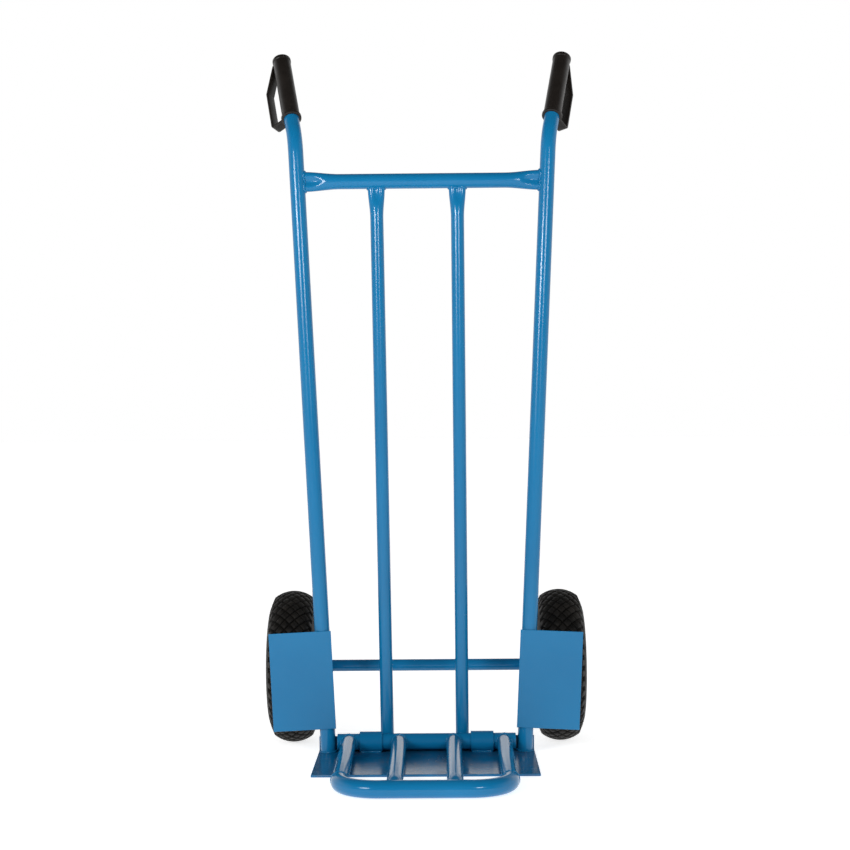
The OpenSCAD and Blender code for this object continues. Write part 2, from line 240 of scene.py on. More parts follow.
class End:
    """How one end of a bar is pressed, and the round bar that it is cut to fit.

    wide and deep are the half sizes of the pressed end, dent is the depth of the hollow down its
    middle, groove is the half width of that hollow, and run is the length of the pressed part.
    """

    def __init__(self, target=None, wide=None, deep=None, dent=0.0, run=1.0, groove=5.5):
        self.target, self.wide, self.deep = target, wide, deep
        self.dent, self.run, self.groove = dent, run, groove


def add_bar(bm, start, end, radius, wide_axis, first, last):
    """A tube between two places with shaped ends. Returns the two end loops for the weld beads."""
    sides = 64
    middle = (start + end) / 2
    along = (end - start).normalized()
    half = (end - start).length / 2
    wide = (wide_axis - along * wide_axis.dot(along)).normalized()
    deep = along.cross(wide)

    def offset(t, e, spec):
        w = radius + ((spec.wide or radius) - radius) * e
        d = radius + ((spec.deep or radius) - radius) * e
        across = w * math.cos(t)
        hollow = spec.dent * smooth_step(e * 1.6 - 0.45)
        hollow *= math.exp(-((across / spec.groove) ** 2))
        lift = math.sin(t)
        return wide * across + deep * (d * lift - math.copysign(hollow, lift) * abs(lift))

    turns = full_turn(sides)
    loops, limits = [], []
    for spec, sign in ((first, -1), (last, 1)):
        far = []
        for t in turns:
            at = middle + offset(t, 1.0, spec)
            far.append(reach(at, along * sign, spec.target) if spec.target else half)
        loop = [middle + offset(t, 1.0, spec) + along * sign * s for t, s in zip(turns, far)]
        loops.append(loop)
        # An end cut to fit runs 1 mm into the bar that it meets.
        limits.append([s + (1.0 if spec.target else 0.0) for s in far])
    # Rings stand close together over the pressed ends and far apart between them.
    total = 2 * half
    steps = 18
    shares = [-1 + 2 * first.run * k / steps / total for k in range(steps + 1)]
    shares += [1 - 2 * last.run * k / steps / total for k in range(steps + 1)]
    rings = []
    for share in sorted(shares):
        ring = []
        for k, t in enumerate(turns):
            s = share * (limits[1][k] if share > 0 else limits[0][k])
            spec = last if share > 0 else first
            from_end = (1 - abs(share)) * total / 2
            e = smooth_step(1 - from_end / spec.run)
            ring.append(middle + offset(t, e, spec) + along * s)
        rings.append(ring)
    add_loft(bm, rings)
    return loops


def untwisted(rings, centres):
    """The rings of a closed bead, with the twist left between its ends spread over its length."""
    n = len(rings)

    def gap(a, b, shift=0):
        return sum((a[j] - b[(j + shift) % BEAD_SIDES]).length for j in range(BEAD_SIDES))

    shift = min(range(BEAD_SIDES), key=lambda q: gap(rings[0], rings[-1], q))
    if not shift:
        return rings
    options = []
    for sign in (-1, 1):
        turned = []
        for k, (ring, centre) in enumerate(zip(rings, centres)):
            tangent = (centres[(k + 1) % n] - centres[k - 1]).normalized()
            angle = sign * 2 * math.pi / BEAD_SIDES * shift * k / n
            turn = Matrix.Rotation(angle, 3, tangent)
            turned.append([centre + turn @ (q - centre) for q in ring])
        options.append(turned)
    return min(options, key=lambda turned: gap(turned[0], turned[-1]))


def add_bead(bm, path, radius, closed, seed):
    """A rippled weld bead along a line of points."""
    line = list(path) + ([path[0]] if closed else [])
    lengths = [0.0]
    for a, b in zip(line, line[1:]):
        lengths.append(lengths[-1] + (b - a).length)
    count = max(int(lengths[-1] / BEAD_STEP), 6)
    points, i = [], 0
    for k in range(count if closed else count + 1):
        s = lengths[-1] * k / count
        while i < len(lengths) - 2 and lengths[i + 1] < s:
            i += 1
        share = (s - lengths[i]) / (lengths[i + 1] - lengths[i])
        points.append(line[i].lerp(line[i + 1], share))
    rings = []
    n = len(points)
    side = Vector((0.3, 0.5, 0.8))
    for k, p in enumerate(points):
        before = points[k - 1] if closed or k else p
        after = points[(k + 1) % n] if closed or k < n - 1 else p
        tangent = (after - before).normalized()
        side = (side - tangent * side.dot(tangent)).normalized()
        wander = noise.noise(p * 0.11 + Vector((seed, 0, 0)))
        r = radius * (0.90 + 0.10 * math.cos(2 * math.pi * k / 4) + 0.16 * wander)
        if not closed:
            # Both ends of an open bead taper over four rings.
            r *= math.sqrt(max(0.05, min(1.0, (k + 0.5) / 4, (n - k - 0.5) / 4)))
        rings.append(ring_at((p, side, tangent.cross(side)), r, BEAD_SIDES))
    if closed:
        rings = untwisted(rings, points)
    add_loft(bm, rings, closed=closed)


# ---- Materials ----


def set_range(node, low, high, to_low, to_high):
    """Fills in the four ends of a Map Range node."""
    ends = {"From Min": low, "From Max": high, "To Min": to_low, "To Max": to_high}
    for key, number in ends.items():
        node.inputs[key].default_value = number


class Look:
    """Builds one procedural material around its Principled shader."""

    def __init__(self, name, roughness=0.5, metallic=0.0):
        self.material = bpy.data.materials.new(name)
        self.material.use_nodes = True
        self.tree = self.material.node_tree
        self.shader = self.tree.nodes["Principled BSDF"]
        self.shader.inputs["Roughness"].default_value = roughness
        self.shader.inputs["Metallic"].default_value = metallic
        self.place = self.tree.nodes.new("ShaderNodeTexCoord").outputs["Object"]

    def link(self, a, b):
        self.tree.links.new(a, b)

    def noise(self, scale, detail=2.0, rough=0.5, distortion=0.0, stretch=None):
        node = self.tree.nodes.new("ShaderNodeTexNoise")
        node.inputs["Scale"].default_value = scale
        node.inputs["Detail"].default_value = detail
        node.inputs["Roughness"].default_value = rough
        node.inputs["Distortion"].default_value = distortion
        place = self.place
        if stretch:
            mapping = self.tree.nodes.new("ShaderNodeMapping")
            mapping.inputs["Scale"].default_value = stretch
            self.link(self.place, mapping.inputs["Vector"])
            place = mapping.outputs["Vector"]
        self.link(place, node.inputs["Vector"])
        return node.outputs["Fac"]

    def spots(self, scale):
        node = self.tree.nodes.new("ShaderNodeTexVoronoi")
        node.inputs["Scale"].default_value = scale
        self.link(self.place, node.inputs["Vector"])
        return node.outputs["Distance"]

    def levels(self, value, low, high, to_low=0.0, to_high=1.0):
        node = self.tree.nodes.new("ShaderNodeMapRange")
        set_range(node, low, high, to_low, to_high)
        self.link(value, node.inputs["Value"])
        return node.outputs["Result"]

    def maths(self, kind, a, b):
        node = self.tree.nodes.new("ShaderNodeMath")
        node.operation = kind
        for socket, value in zip(node.inputs, (a, b)):
            if isinstance(value, float):
                socket.default_value = value
            else:
                self.link(value, socket)
        return node.outputs["Value"]

    def mix(self, factor, a, b):
        node = self.tree.nodes.new("ShaderNodeMix")
        node.data_type = "RGBA"
        self.link(factor, node.inputs[0])
        for socket, value in ((node.inputs[6], a), (node.inputs[7], b)):
            if isinstance(value, tuple):
                socket.default_value = (*value, 1)
            else:
                self.link(value, socket)
        return node.outputs[2]

    def edges(self, radius, low, high):
        """Near 1 within radius (metres) of an edge, and 0 on open faces."""
        bevel = self.tree.nodes.new("ShaderNodeBevel")
        bevel.samples = 4
        bevel.inputs["Radius"].default_value = radius
        flat = self.tree.nodes.new("ShaderNodeNewGeometry")
        dot = self.tree.nodes.new("ShaderNodeVectorMath")
        dot.operation = "DOT_PRODUCT"
        self.link(bevel.outputs["Normal"], dot.inputs[0])
        self.link(flat.outputs["Normal"], dot.inputs[1])
        return self.levels(dot.outputs["Value"], low, high)

    def attribute(self, name):
        node = self.tree.nodes.new("ShaderNodeAttribute")
        node.attribute_name = name
        return node.outputs["Fac"]

    def colour(self, value):
        self.link(value, self.shader.inputs["Base Color"])

    def rough(self, value):
        self.link(value, self.shader.inputs["Roughness"])

    def bumps(self, *layers):
        """Each layer is (height, strength, depth in metres)."""
        normal = None
        for height, strength, depth in layers:
            node = self.tree.nodes.new("ShaderNodeBump")
            node.inputs["Strength"].default_value = strength
            node.inputs["Distance"].default_value = depth
            self.link(height, node.inputs["Height"])
            if normal:
                self.link(normal, node.inputs["Normal"])
            normal = node.outputs["Normal"]
        self.link(normal, self.shader.inputs["Normal"])


def paint_look(name, deep, light, rubbed, rough_low, rough_high, scuffs_and_reflections=None):
    """Powder coat over steel: slow colour drift, orange peel, dust nibs and rubbed edges."""
    look = Look(name)
    drift = look.levels(look.noise(5, 3), 0.3, 0.7)
    base = look.mix(drift, deep, light)
    scuff = look.levels(look.noise(38, 6, 0.7, 0.6), 0.62, 0.72)
    edge = look.edges(0.0012, 0.99, 0.80)
    worn = look.maths("MULTIPLY", edge, look.levels(look.noise(90, 4, 0.7), 0.42, 0.62))
    base = look.mix(look.maths("MULTIPLY", worn, 0.45), base, rubbed)
    if scuffs_and_reflections:
        # Cloudy patches and streaks that run front to back: scuffs left by loads slid over the
        # sheet, and painted reflections on it.
        cloud = look.levels(look.noise(9, 5, 0.6, 0.8), 0.42, 0.58)
        streaks = look.levels(look.noise(16, 5, 0.7, 0.5, stretch=(5, 1, 1)), 0.40, 0.66, 0.25, 1.0)
        rubs_and_reflections = look.maths("MULTIPLY", cloud, streaks)
        base = look.mix(look.maths("MULTIPLY", rubs_and_reflections, 0.85), base, scuffs_and_reflections)
        scuff = look.maths("MAXIMUM", scuff, rubs_and_reflections)
    look.colour(base)
    haze = look.levels(look.noise(11, 5, 0.65), 0.3, 0.7, rough_low, rough_high)
    look.rough(look.maths("ADD", haze, look.maths("MULTIPLY", scuff, 0.12)))
    peel = look.noise(330, 2, 0.5)
    nibs = look.levels(look.spots(95), 0.0, 0.16, 1.0, 0.0)
    look.bumps((peel, 0.10, 0.0006), (nibs, 0.05, 0.0003))
    look.shader.inputs["Specular IOR Level"].default_value = 0.34
    return look.material


def metal_look(name, dark, bright, rough_low, rough_high, grain):
    """Plated or turned steel with a fine lay and dull patches."""
    look = Look(name, metallic=1.0)
    patches = look.levels(look.noise(60, 5, 0.7), 0.3, 0.7)
    look.colour(look.mix(patches, dark, bright))
    look.rough(look.levels(look.noise(120, 5, 0.7), 0.3, 0.7, rough_low, rough_high))
    look.bumps((look.noise(900, 3, 0.6, stretch=grain), 0.25, 0.0001))
    return look.material


def rubber_look(name, dark, dusty, rough_low, rough_high, shaded_grooves=False):
    """Moulded rubber with mould skin, a dusty bloom and fine pits, and optionally darker tread
    grooves, which are painted shade.
    """
    look = Look(name)
    bloom = look.levels(look.noise(26, 6, 0.7), 0.35, 0.75)
    if shaded_grooves:
        # Painted shade in the tread grooves: the bloom drops to 0.15 of its strength where the
        # tread sinks into a groove.
        tread = look.levels(look.attribute("tread"), 0.0, 1.0, 0.15, 1.0)
        bloom = look.maths("MULTIPLY", tread, bloom)
    look.colour(look.mix(bloom, dark, dusty))
    look.rough(look.levels(look.noise(70, 5, 0.7), 0.3, 0.7, rough_low, rough_high))
    look.bumps((look.noise(1100, 3, 0.6), 0.35, 0.0003), (look.noise(220, 3, 0.6), 0.15, 0.0004))
    look.shader.inputs["Specular IOR Level"].default_value = 0.15
    return look.material


def plastic_look(name):
    """Near-black moulded plastic with a fine leather grain, rubbed smoother where hands hold it."""
    look = Look(name)
    worn = look.levels(look.noise(24, 5, 0.6), 0.35, 0.7)
    look.colour(look.mix(worn, (0.0072, 0.0054, 0.0043), (0.0120, 0.0092, 0.0076)))
    look.rough(look.levels(worn, 0.0, 1.0, 0.34, 0.47))
    grain = look.levels(look.spots(900), 0.0, 0.6)
    look.bumps((grain, 0.16, 0.0002), (look.noise(240, 4, 0.6), 0.12, 0.0003))
    look.shader.inputs["Specular IOR Level"].default_value = 0.38
    return look.material


# All colours are linear.
PAINT = paint_look(
    "blue_paint",
    deep=(0.0022, 0.134, 0.305),
    light=(0.0045, 0.158, 0.345),
    rubbed=(0.07, 0.25, 0.46),
    rough_low=0.12,
    rough_high=0.19,
)
# The toe plate's paint is a darker copy of the blue paint: painted shade on the flat plate, which
# the light from the front reaches less than the upright faces.
PLATE_PAINT_SHADED = paint_look(
    "blue_paint_shaded_scuffed_reflecting",
    deep=(0.0022, 0.110, 0.255),
    light=(0.0045, 0.140, 0.310),
    rubbed=(0.09, 0.20, 0.34),
    rough_low=0.13,
    rough_high=0.21,
    # The greyer patch colour stands for scuffs and for painted reflections on the plate.
    scuffs_and_reflections=(0.062, 0.112, 0.200),
)
ZINC = metal_look(
    "zinc_steel", (0.42, 0.43, 0.44), (0.66, 0.67, 0.69), 0.28, 0.46, grain=(1, 1, 1)
)
HUB_STEEL = metal_look(
    "hub_steel", (0.30, 0.30, 0.31), (0.50, 0.50, 0.51), 0.30, 0.50, grain=(12, 1, 1)
)
RIM_PAINT = paint_look(
    "rim_paint",
    deep=(0.50, 0.51, 0.53),
    light=(0.60, 0.61, 0.63),
    rubbed=(0.42, 0.42, 0.43),
    rough_low=0.30,
    rough_high=0.42,
)
# The tyre's tread grooves get painted shade.
RUBBER = rubber_look(
    "tyre_rubber", (0.0022, 0.0020, 0.0017), (0.0190, 0.0164, 0.0140), 0.46, 0.70, shaded_grooves=True
)
TUBE_RUBBER = rubber_look(
    "tube_rubber", (0.012, 0.012, 0.012), (0.030, 0.029, 0.028), 0.35, 0.55
)
VALVE_RUBBER = rubber_look(
    "valve_rubber", (0.010, 0.010, 0.010), (0.026, 0.026, 0.026), 0.35, 0.6
)
PLASTIC = plastic_look("grip_plastic")
LOOKS = {
    "blue_paint": PAINT,
    "zinc_steel": ZINC,
    "hub_steel": HUB_STEEL,
    "rim_paint": RIM_PAINT,
    "tyre_rubber": RUBBER,
    "tube_rubber": TUBE_RUBBER,
    "valve_rubber": VALVE_RUBBER,
    "grip_plastic": PLASTIC,
}

for part in frame["record"]["subparts"]:
    mesh = frame["nodes"][part["node"]].data
    mesh.materials.clear()
    mesh.materials.append(LOOKS[part["material_slot"]])


# ---- Placing on the part ----

SIDES = (("left", -1), ("right", 1))


def mirrored(side):
    """Turns places given for the right side into those of either side."""
    return Matrix.Scale(-1, 4, X) if side < 0 else Matrix.Identity(4)


def upright_place(side):
    """Local +Z runs up along an upright from its foot."""
    lean = Matrix.Translation((FOOT_X, 0, 0)) @ Matrix.Rotation(FLARE, 4, "Y")
    return mirrored(side) @ lean


def bend_place(side):
    """Local +Z runs on from the straight part of an upright, and +X points into its bend."""
    turn = Matrix.Rotation(math.pi / 2 - SPLAY, 4, "Z")
    return upright_place(side) @ Matrix.Translation((0, 0, STRAIGHT)) @ turn


def handle_place(side):
    """Local +Z runs along the straight end of a handle, from the end of its bend."""
    step = (BEND_R * (1 - math.cos(BEND)), 0, BEND_R * math.sin(BEND))
    return bend_place(side) @ Matrix.Translation(step) @ Matrix.Rotation(BEND, 4, "Y")


def along_x(x, y, z):
    """Local +Z runs along the part's +X from the given place."""
    return Matrix.Translation((x, y, z)) @ Matrix.Rotation(math.pi / 2, 4, "Y")


def upright_axis(side):
    """The round bar of an upright as (axis point, axis, radius)."""
    place = upright_place(side)
    return place @ Vector((0, 0, 0)), (place.to_3x3() @ Z).normalized(), UPRIGHT_R


# ---- Uprights ----

for label, side in SIDES:
    upright, bend, handle = upright_place(side), bend_place(side), handle_place(side)
    line = [upright @ Vector((0, 0, z)) for z in (2, 60, 250, 500, 750, STRAIGHT - 20)]
    bend_steps = 32
    for k in range(bend_steps + 1):
        a = BEND * k / bend_steps
        line.append(bend @ Vector((BEND_R * (1 - math.cos(a)), 0, BEND_R * math.sin(a))))
    line += [handle @ Vector((0, 0, z)) for z in (12, HANDLE_BARE + GRIP_LENGTH - 10)]
    bm = bmesh.new()
    add_pipe(bm, line, UPRIGHT_R, UPRIGHT_R - WALL, side=X)
    finish_mesh(
        f"{label}_upright_tube", bm, PAINT, "frame", [f"{label}_upright"]
    )

# ---- Crossbar and inner bars, pressed wider at the ends that meet another tube ----

CROSSBAR_PRESS = {"wide": 16.6, "deep": 9.6, "dent": 5.6, "run": 62, "groove": 8.2}
INNER_PRESS = {"wide": 14.2, "deep": 8.4, "dent": 4.4, "run": 50, "groove": 6.0}
FINGER_PRESS = {"wide": 15.4, "deep": 9.4, "dent": 3.6, "run": 50}

# Each weld is (points, bead radius, whether the bead closes on itself).
frame_welds, toe_welds = [], []
bm = bmesh.new()
crossbar_x = FOOT_X + CROSSBAR_Z * math.tan(FLARE)
crossbar_line = (Vector((0, 0, CROSSBAR_Z)), X, UPRIGHT_R)
loops = add_bar(
    bm,
    Vector((-crossbar_x, 0, CROSSBAR_Z)),
    Vector((crossbar_x, 0, CROSSBAR_Z)),
    UPRIGHT_R,
    Z,
    End(upright_axis(-1), **CROSSBAR_PRESS),
    End(upright_axis(1), **CROSSBAR_PRESS),
)
frame_welds += [(loop, 2.6, True) for loop in loops]
finish_mesh("top_crossbar_tube", bm, PAINT, "frame", ["top_crossbar"])

INNER_FEET = {"left": Vector((-66, 28, PLATE_T)), "right": Vector((60, 28, PLATE_T))}
INNER_TOPS = {"left": Vector((-76.5, 0, CROSSBAR_Z)), "right": Vector((58.5, 0, CROSSBAR_Z))}
for label, side in SIDES:
    bm = bmesh.new()
    foot, top = INNER_FEET[label], INNER_TOPS[label]
    loops = add_bar(bm, foot, top, INNER_R, X, End(), End(crossbar_line, **INNER_PRESS))
    frame_welds.append((loops[1], 2.3, True))
    finish_mesh(
        f"{label}_inner_tube_bar", bm, PAINT, "frame", [f"{label}_inner_bar"]
    )
    for shift in (-6.2, 6.2):
        seam = [foot + Vector((shift, -9.6, z)) for z in (3, 22)]
        frame_welds.append((seam, 1.6, False))

# ---- Folded toe plate, wheel guards and axle brackets ----


def plate_edge(back, low, bend_radius):
    """One face of the folded plate, seen from its left end."""
    corners = [(-PLATE_REACH, low), (back, low), (back, UPSTAND_TOP)]
    return rounded([Vector((-PLATE_HALF, y, z)) for y, z in corners], bend_radius, 10)


outside = plate_edge(UPSTAND_Y + PLATE_T, 0, 7)
inside = plate_edge(UPSTAND_Y, PLATE_T, 3)
bm = bmesh.new()
add_slab(bm, outside + inside[::-1], Vector((2 * PLATE_HALF, 0, 0)))
# The plate wears the darker copy of the blue paint, which is painted shade.
plate = finish_mesh("toe_plate_sheet", bm, PLATE_PAINT_SHADED, "frame", ["toe_plate"])
ease_edges(plate, 0.7)

for label, side in SIDES:
    place = upright_place(side)
    (x0, x1), (z0, z1) = GUARD_SPAN, GUARD_RISE
    corners = [(x0, z0), (x1, z0), (x1, z1), (x0, z1)]
    outline = [place @ Vector((x, -UPRIGHT_R - GUARD_T, z)) for x, z in corners]
    bm = bmesh.new()
    add_slab(bm, outline, Vector((0, GUARD_T, 0)))
    guard = finish_mesh(
        f"{label}_guard_sheet", bm, PAINT, "frame", [f"{label}_wheel_guard"]
    )
    ease_edges(guard, 0.5)
    # Three stitches down each side of the upright hold the guard, and a ring holds its foot.
    for shift in (-5.4, 5.4):
        for low in (50, 112, 172):
            stitch = [place @ Vector((shift, -11.9, z)) for z in (low, low + 28)]
            frame_welds.append((stitch, 1.5, False))
    ring_r = UPRIGHT_R + 0.2
    foot_ring = [
        place @ Vector((ring_r * math.cos(a), ring_r * math.sin(a), 5)) for a in full_turn(40)
    ]
    frame_welds.append((foot_ring, 1.9, True))

BRACKET_ROOT_Y = 10.5
BRACKET_HALF = 61.0
NOSE_R = 24.0
nose_angles = angles(*(-80 + 160 * k / 20 for k in range(21)))
bracket_shape = [
    (BRACKET_ROOT_Y, AXLE_Z - BRACKET_HALF),
    *((AXLE_Y + NOSE_R * math.cos(a), AXLE_Z + NOSE_R * math.sin(a)) for a in nose_angles),
    (BRACKET_ROOT_Y, AXLE_Z + BRACKET_HALF),
]
for label, side in SIDES:
    bm = bmesh.new()
    x0 = BRACKET_X - BRACKET_T / 2
    outline = [mirrored(side) @ Vector((x0, y, z)) for y, z in bracket_shape]
    add_slab(bm, outline, Vector((side * BRACKET_T, 0, 0)))
    bracket = finish_mesh(
        f"{label}_bracket_plate", bm, PAINT, "frame", [f"{label}_axle_bracket"]
    )
    ease_edges(bracket, 0.8)
    for face in (-BRACKET_T / 2, BRACKET_T / 2):
        seam = []
        for k in range(25):
            z = AXLE_Z - 58 + 116 * k / 24
            # The seam follows the round back of the leaning upright.
            x = BRACKET_X + face
            dx = x - FOOT_X - z * math.tan(FLARE)
            seam.append(mirrored(side) @ Vector((x, math.sqrt(161 - dx * dx), z)))
        frame_welds.append((seam, 1.6, False))
    ring_r = AXLE_R + 0.4
    ring = [
        mirrored(side) @ Vector((x0, AXLE_Y + ring_r * math.cos(a), AXLE_Z + ring_r * math.sin(a)))
        for a in full_turn(36)
    ]
    frame_welds.append((ring, 1.7, True))

# ---- Hinge sleeves, hinge pipe and folding toe ----


def ring_profile(r0, r1, z0, z1, ease=0.4):
    """The outline of a plain ring with eased outer edges."""
    return [(r0, z0), (r1 - ease, z0), (r1, z0 + ease), (r1, z1 - ease), (r1 - ease, z1), (r0, z1)]


for label, side in SIDES:
    bm = bmesh.new()
    profile = ring_profile(SLEEVE_BORE, SLEEVE_R, -SLEEVE_HALF, SLEEVE_HALF, ease=0.8)
    add_turned(bm, profile, along_x(side * SLEEVE_X, HINGE.y, HINGE.z))
    finish_mesh(
        f"{label}_sleeve_ring", bm, PAINT, "frame", [f"{label}_hinge_sleeve"]
    )
    for dy, r in ((-7.2, 2.6), (7.2, 2.4)):
        line = [Vector((side * SLEEVE_X + x, HINGE.y + dy, 5.3)) for x in (-17.5, 17.5)]
        frame_welds.append((line, r, False))

bm = bmesh.new()
pipe_line = [Vector((x, HINGE.y, HINGE.z)) for x in (-HINGE_HALF, 0, HINGE_HALF)]
add_pipe(bm, pipe_line, PIPE_R, PIPE_R - 2.6, rim=0.7)
finish_mesh("hinge_pipe_tube", bm, PAINT, "toe", ["hinge_pipe"])

bm = bmesh.new()
front_corners = [
    (-OUTER_X, TUBE_END_Y), (-OUTER_X, TOE_Y), (OUTER_X, TOE_Y), (OUTER_X, TUBE_END_Y)
]
front_line = rounded([Vector((x, y, FRONT_Z)) for x, y in front_corners], TOE_CORNER_R, 24)
add_pipe(bm, front_line, PIPE_R, PIPE_R - 2)
finish_mesh("toe_front_bow", bm, PAINT, "toe", ["toe_front_tube"])

hinge_line = (HINGE, X, PIPE_R)
front_target = (Vector((0, TOE_Y, FRONT_Z)), X, PIPE_R)
finger_down = Vector((0, -math.cos(FINGER_FALL), -math.sin(FINGER_FALL)))
for name, x, inner in (
    ("left_outer_finger", -OUTER_X, False),
    ("left_inner_finger", -INNER_X, True),
    ("right_inner_finger", INNER_X, True),
    ("right_outer_finger", OUTER_X, False),
):
    start = Vector((x, HINGE.y, HINGE.z))
    length = INNER_FINGER_L if inner else OUTER_FINGER_L
    bm = bmesh.new()
    last = End(front_target, **FINGER_PRESS) if inner else End()
    loops = add_bar(bm, start, start + finger_down * length, FINGER_R, X, End(hinge_line), last)
    toe_welds.append((loops[0], 2.4, True))
    if inner:
        toe_welds.append((loops[1], 2.2, True))
    else:
        centre = start + finger_down * (OUTER_FINGER_L - 1.4)
        ring_r = FINGER_R + 0.4
        ring = [
            centre + Vector((ring_r * math.cos(a), 0, ring_r * math.sin(a))) for a in full_turn(40)
        ]
        toe_welds.append((ring, 1.7, True))
    finish_mesh(f"{name}_tube", bm, PAINT, "toe", [name])

for name, body, welds in (
    ("frame_welds", "frame", frame_welds),
    ("toe_welds", "toe", toe_welds),
):
    bm = bmesh.new()
    for k, (points, radius, closed) in enumerate(welds):
        add_bead(bm, points, radius, closed, seed=k * 7.3)
    finish_mesh(name, bm, PAINT, body, crease=180)

# ---- Axle spacers and washers ----

bm = bmesh.new()
for label, side in SIDES:
    place = mirrored(side) @ along_x(0, AXLE_Y, AXLE_Z)
    add_turned(bm, ring_profile(AXLE_R, 13.5, BRACKET_X + BRACKET_T / 2, SPACER_END), place)
finish_mesh("axle_spacer_rings", bm, ZINC, "frame", ["axle_spacers"])
bm = bmesh.new()
for label, side in SIDES:
    place = mirrored(side) @ along_x(0, AXLE_Y, AXLE_Z)
    for x in WASHER_X:
        add_turned(bm, ring_profile(AXLE_R, 18, x, x + 2.5, ease=0.5), place)
finish_mesh("axle_washer_rings", bm, ZINC, "frame", ["axle_washers"])

# ---- Grips with their finger guards ----

GUARD_TURN = {"left": math.radians(46), "right": math.radians(64)}
GUARD_REACH = 36.0
GRIP_R = 15.0
END_R = 15.4
DOME_R = 43.6
BORE_END = 139.2
POLE_R = 0.02


def add_strap(bm, line, width_axis, width, thick):
    """A flat strap along a line, with rounded edges."""
    ease = 1.1
    rings = []
    for p, side, up in frames_along(line, width_axis):
        ring = []
        for cx, cy, start in ((1, 1, 0), (-1, 1, 90), (-1, -1, 180), (1, -1, 270)):
            for k in range(4):
                a = math.radians(start + 30 * k)
                w = cx * (width / 2 - ease) + ease * math.cos(a)
                t = cy * (thick / 2 - ease) + ease * math.sin(a)
                ring.append(p + side * w + up * t)
        rings.append(ring)
    add_loft(bm, rings)


for label, side in SIDES:
    turn = Matrix.Rotation(GUARD_TURN[label] - math.pi / 2, 4, "Z")
    place = handle_place(side) @ Matrix.Translation((0, 0, HANDLE_BARE)) @ turn
    bm = bmesh.new()
    bore = UPRIGHT_R + 0.05
    # Lower flange, plain barrel, upper flange, domed end and bore.
    profile = [(bore, 0), (16.0, 0), (16.8, 0.5), (17.1, 1.4), (17.1, 4.6), (16.7, 5.6)]
    profile.append((GRIP_R, 6.6))
    profile += [(GRIP_R, z) for z in (20, 40, 60, 80, 100, 120)]
    profile += [(GRIP_R, 137.6), (15.5, 138.2), (15.9, 139.0), (15.9, 143.6), (15.6, 144.2)]
    for k in range(1, 9):
        r = END_R * (1 - k / 8)
        rise = math.sqrt(DOME_R**2 - r * r)
        profile.append((max(r, POLE_R), GRIP_LENGTH - DOME_R + rise))
    profile += [(POLE_R, BORE_END), (bore, BORE_END)]
    add_turned(bm, profile, place, steps=96)
    corners = [(13.5, 2.6), (GUARD_REACH, 2.6), (GUARD_REACH, 84), (13.5, 136)]
    guard = rounded([Vector((x, 0, z)) for x, z in corners], 4.5, 8)
    fine = []
    for a, b in zip(guard, guard[1:]):
        cuts = max(1, int((b - a).length / 3))
        fine += [a.lerp(b, k / cuts) for k in range(cuts)]
    fine.append(guard[-1])
    add_strap(bm, [place @ p for p in fine], place.to_3x3() @ Y, 17, 4.2)
    finish_mesh(
        f"{label}_grip_moulding", bm, PLASTIC, "frame", [f"{label}_grip"]
    )

# ---- Wheels ----

# The tread is a lattice of diamond cells, each with a raised block inside its grooves.
TURNS = 40
CELL_ACROSS = 17.0
TREAD_HALF = 32.0
GROOVE = 3.0
CELL_STEPS = (0, 0.06, 0.115, 0.165, 0.5, 0.835, 0.885, 0.94, 1)
CELL_RISE = (0, 0, 0.78, 1, 1, 1, 0.78, 0, 0)
CROWN_R = 52.0
CROWN_CENTRE = 78.0
WALL_R = 41.0
WALL_CENTRE = 89.0
LINING_R = 35.5
LINING_CENTRE = 88.5
LINING_TOP = 124.0
SMOOTH_RISE = 0.35


